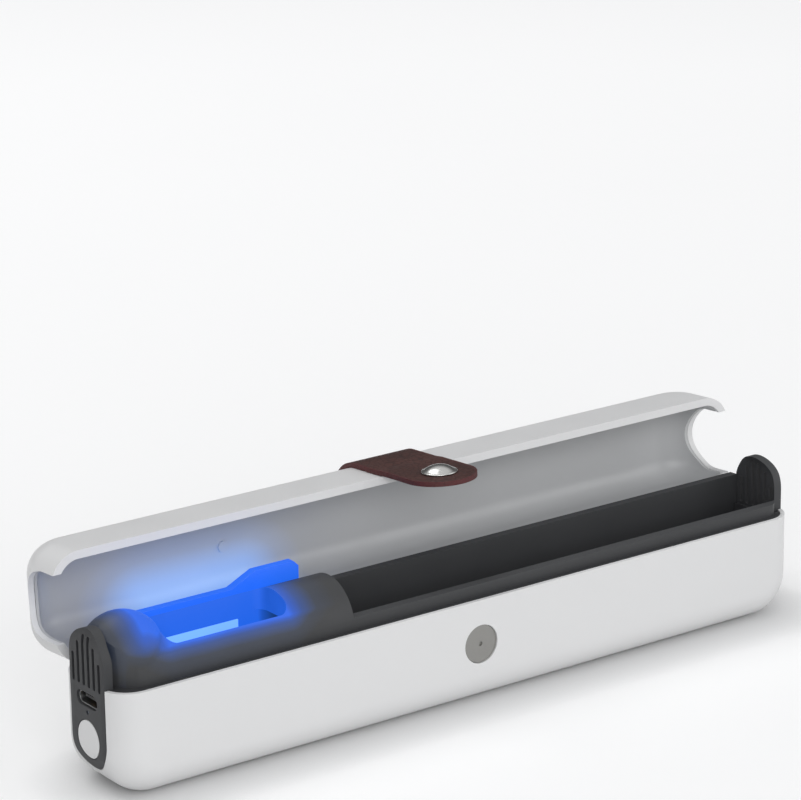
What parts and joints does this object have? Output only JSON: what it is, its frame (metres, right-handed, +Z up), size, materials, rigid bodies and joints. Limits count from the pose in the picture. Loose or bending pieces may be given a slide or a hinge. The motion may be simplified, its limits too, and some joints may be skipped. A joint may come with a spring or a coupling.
{
  "type": "uv toothbrush sterilizer",
  "caption": "Slim hinged travel case that sterilizes a toothbrush with ultraviolet light, with vented end panels, a push button, a charging port and a leather snap strap.",
  "frame": {"origin": "middle of the flat underside of the base shell", "axes": "+X along the case away from the control panel, +Y from the front face towards the hinge at the back, +Z up"},
  "size_m": [0.215, 0.0506, 0.0597],
  "materials": {
    "white_shell": "satin white moulded shell",
    "lid_lining": "grey satin lining of the lid",
    "dark_tray": "dark grey satin tray",
    "dark_panel": "dark grey fine-textured end panel",
    "white_button": "smooth white button",
    "black_plastic": "black moulded plastic",
    "board_green": "green lacquered circuit board",
    "steel": "bright plated steel",
    "grey_steel": "dull grey steel",
    "light_white": "clear white light guide",
    "uv_blue": "blue translucent plastic",
    "uv_glass": "clear blue-tinted window",
    "cell_wrap": "wrapped rechargeable cell",
    "cradle_rubber": "black foam rubber",
    "lead_sleeve": "insulated lead",
    "brown_leather": "dark brown leather"
  },
  "bodies": {
    "base": {"base_shell": "white_shell", "inner_tray": "dark_tray", "control_panel": "dark_panel", "vent_panel": "dark_panel", "tact_switch": "black_plastic", "main_board": "board_green", "board_parts": "black_plastic", "usb_receptacle": "steel", "usb_tongue": "black_plastic", "status_light": "light_white", "light_pipe": "light_white", "board_screws": "steel", "battery_cell": "cell_wrap", "cell_cradle": "cradle_rubber", "cell_leads": "lead_sleeve", "lamp_board": "board_green", "uv_emitters": "uv_blue", "uv_window": "uv_glass", "lamp_leads": "lead_sleeve", "uv_hood": "uv_blue", "hinge_pins": "steel", "tray_screws": "steel", "strike_disc": "grey_steel", "disc_retainer": "grey_steel", "lid_sensor": "black_plastic"},
    "lid": {"lid_shell": "white_shell", "lid_liner": "lid_lining", "strap": "brown_leather", "strap_rivets": "steel", "lid_magnet": "grey_steel"},
    "strap_tab": {"strap_tab": "brown_leather", "snap_cap": "steel", "snap_magnet": "grey_steel"},
    "power_button": {"power_button": "white_button", "switch_plunger": "black_plastic"}
  },
  "joints": [
    {"name": "lid_hinge", "type": "hinge", "parent": "base", "child": "lid", "pos_m": [0, 0.0131, 0.02815], "axis": [1, 0, 0], "range_deg": [0, 94]},
    {"name": "strap_flex", "type": "hinge", "parent": "lid", "child": "strap_tab", "pos_m": [0, 0.01595, 0.05607], "axis": [-1, 0, 0], "range_deg": [0, 40], "stiffness_Nm_per_rad": 0.002},
    {"name": "power_button_press", "type": "slide", "parent": "base", "child": "power_button", "axis": [1, 0, 0], "range_m": [0, 0.0005], "stiffness_N_per_m": 1500}
  ]
}
